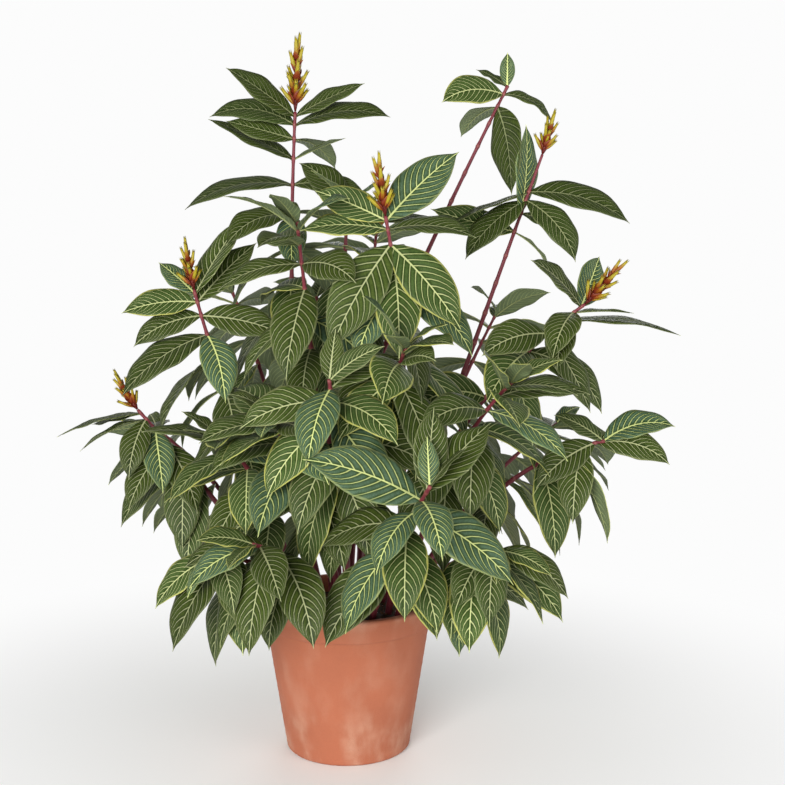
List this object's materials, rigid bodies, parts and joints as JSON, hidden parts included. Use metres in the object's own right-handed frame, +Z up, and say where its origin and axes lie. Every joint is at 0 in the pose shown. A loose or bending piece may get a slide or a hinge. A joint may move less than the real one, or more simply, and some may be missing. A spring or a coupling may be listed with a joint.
{
  "type": "potted sanchezia",
  "caption": "A bushy sanchezia with yellow-veined leaves on red stems and yellow tubular flower spikes, growing in soil in a plain tapered clay pot",
  "frame": {"origin": "Centre of the pot's flat underside, on the surface it stands on", "axes": "+Z up, the plant's front faces -Y, +X to its right as seen from the front"},
  "size_m": [1.3362, 1.2064, 1.5616],
  "materials": {
    "clay": "unglazed terracotta, matt, slightly grainy",
    "soil": "dark crumbly potting mix",
    "foliage": "smooth leaf with a soft sheen, pale veins",
    "flowers": "waxy petals",
    "bark": "smooth red bark"
  },
  "bodies": {
    "root": {"pot": "clay", "soil": "soil", "stem_left_tall": "foliage", "stem_right_tall": "foliage", "stem_right_upper": "foliage", "stem_centre_upper": "foliage", "stem_left_upper": "foliage", "stem_far_left": "foliage", "stem_right_side": "foliage", "stem_far_right": "foliage", "stem_front_centre": "foliage", "stem_front_left": "foliage", "stem_left_front": "foliage", "stem_low_left": "foliage", "stem_left_low": "foliage", "stem_mid_upper": "foliage", "stem_left_inner": "foliage", "stem_centre_inner": "foliage", "stem_right_inner": "foliage", "stem_mid_front": "foliage", "stem_low_right": "foliage", "stem_back_left": "foliage", "stem_back_centre": "foliage", "stem_back_right": "foliage", "stem_back_inner": "foliage", "stem_back_low_left": "foliage", "stem_back_low_right": "foliage", "stem_back_low": "foliage", "flowers_left_tall": "flowers", "flowers_right_upper": "flowers", "flowers_centre_upper": "flowers", "flowers_left_upper": "flowers", "flowers_far_left": "flowers", "flowers_right_side": "flowers", "flowers_back_centre": "flowers"}
  },
  "joints": []
}
